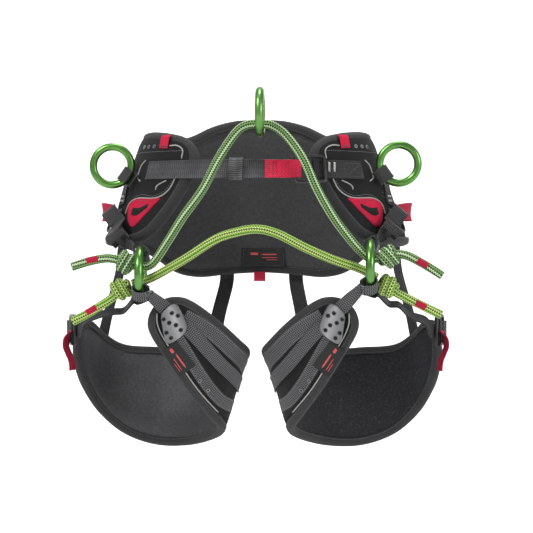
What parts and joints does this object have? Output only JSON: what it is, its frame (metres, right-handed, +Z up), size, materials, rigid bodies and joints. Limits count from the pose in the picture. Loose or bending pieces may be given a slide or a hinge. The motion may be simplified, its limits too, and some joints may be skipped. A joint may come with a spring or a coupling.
{
  "type": "tree climbing saddle",
  "caption": "Padded arborist climbing saddle with hip wings, leg loops, metal rings and two rope bridges with stopper knots.",
  "frame": {"origin": "centre of the wearer's waist, level with the front belt", "axes": "-Y is the front, +X the wearer's left, +Z up"},
  "size_m": [0.5142, 0.3558, 0.4762],
  "materials": {
    "pad_lining": "smooth dark lining fabric with a fine mesh",
    "outer_fabric": "hard-wearing black woven fabric",
    "label": "woven patch",
    "grey_webbing": "tight woven webbing",
    "red_webbing": "red woven tape",
    "green_aluminium": "green anodised, polished",
    "black_metal": "black coated steel with worn edges",
    "plate": "glossy grey moulding",
    "dark_green_rope": "braided rope with pale flecks",
    "lime_rope": "braided rope with dark flecks"
  },
  "bodies": {
    "waist": {"waist_pad": "pad_lining", "hip_panel_L": "outer_fabric", "hip_panel_R": "outer_fabric", "back_label": "label", "belt_strap": "grey_webbing", "belt_anchor_strap": "grey_webbing", "rear_webbing": "grey_webbing", "side_ring_webbing_L": "grey_webbing", "side_ring_webbing_R": "grey_webbing", "hip_strap_L": "grey_webbing", "hip_strap_R": "grey_webbing", "hip_strap_roll_L": "grey_webbing", "hip_strap_roll_R": "grey_webbing", "rear_inner_strap_L": "grey_webbing", "rear_inner_strap_R": "grey_webbing", "rear_outer_strap_L": "grey_webbing", "rear_outer_strap_R": "grey_webbing", "belt_pull_tab": "red_webbing", "rear_loop": "red_webbing", "hip_patch_L": "red_webbing", "hip_patch_R": "red_webbing", "suspender_loop_L": "red_webbing", "suspender_loop_R": "red_webbing", "hip_pull_tab_L": "red_webbing", "hip_pull_tab_R": "red_webbing", "belt_buckle": "black_metal", "hip_adjuster_L": "black_metal", "hip_adjuster_R": "black_metal", "bridge_rope_upper": "dark_green_rope", "knot_upper_L": "dark_green_rope", "knot_upper_R": "dark_green_rope", "rope_tail_upper_L": "dark_green_rope", "rope_tail_upper_R": "dark_green_rope", "bridge_rope_lower": "lime_rope", "knot_lower_L": "lime_rope", "knot_lower_R": "lime_rope", "rope_tail_lower_L": "lime_rope", "rope_tail_lower_R": "lime_rope"},
    "bridge_ring_body": {"bridge_ring": "green_aluminium"},
    "belt_keeper_body": {"belt_keeper": "grey_webbing"},
    "side_ring_body_L": {"side_ring_L": "green_aluminium"},
    "side_ring_body_R": {"side_ring_R": "green_aluminium"},
    "hip_ring_body_L": {"hip_ring_L": "green_aluminium"},
    "hip_ring_body_R": {"hip_ring_R": "green_aluminium"},
    "leg_loop_L": {"leg_pad_L": "pad_lining", "leg_plate_L": "plate", "leg_front_strap_L": "grey_webbing", "leg_outer_strap_L": "grey_webbing", "leg_buckle_L": "black_metal", "leg_tip_strap_L": "grey_webbing", "leg_pull_tab_L": "red_webbing"},
    "leg_loop_R": {"leg_pad_R": "pad_lining", "leg_plate_R": "plate", "leg_front_strap_R": "grey_webbing", "leg_outer_strap_R": "grey_webbing", "leg_buckle_R": "black_metal", "leg_tip_strap_R": "grey_webbing", "leg_pull_tab_R": "red_webbing"}
  },
  "joints": [
    {"name": "bridge_ring_swing", "type": "hinge", "parent": "waist", "child": "bridge_ring_body", "pos_m": [0.01, -0.16, 0.051], "axis": [1, 0, 0], "range_deg": [-60, 180]},
    {"name": "side_ring_swing_L", "type": "hinge", "parent": "waist", "child": "side_ring_body_L", "pos_m": [-0.16936, -0.06, -0.01245], "axis": [0.5736, 0, 0.8192], "range_deg": [-10, 60]},
    {"name": "side_ring_swing_R", "type": "hinge", "parent": "waist", "child": "side_ring_body_R", "pos_m": [0.16936, -0.06, -0.01045], "axis": [0.5736, 0, -0.8192], "range_deg": [-10, 60]},
    {"name": "hip_ring_turn_L", "type": "hinge", "parent": "waist", "child": "hip_ring_body_L", "pos_m": [-0.146, -0.13, -0.141], "axis": [1, 0, 0], "continuous": true},
    {"name": "hip_ring_turn_R", "type": "hinge", "parent": "waist", "child": "hip_ring_body_R", "pos_m": [0.1515, -0.13, -0.132], "axis": [1, 0, 0], "continuous": true},
    {"name": "leg_loop_swing_L", "type": "hinge", "parent": "waist", "child": "leg_loop_L", "pos_m": [-0.146, -0.13, -0.141], "axis": [1, 0, 0], "range_deg": [-6, 14], "stiffness_Nm_per_rad": 5, "springref_deg": 4.58, "deforming": ["rear_inner_strap_L", "rear_outer_strap_L"]},
    {"name": "leg_loop_swing_R", "type": "hinge", "parent": "waist", "child": "leg_loop_R", "pos_m": [0.1515, -0.13, -0.132], "axis": [1, 0, 0], "range_deg": [-6, 14], "stiffness_Nm_per_rad": 5, "springref_deg": 4.58, "deforming": ["rear_inner_strap_R", "rear_outer_strap_R"]},
    {"name": "belt_keeper_slide", "type": "slide", "parent": "waist", "child": "belt_keeper_body", "axis": [0.9953, -0.0965, 0], "range_m": [-0.008, 0.008]}
  ]
}
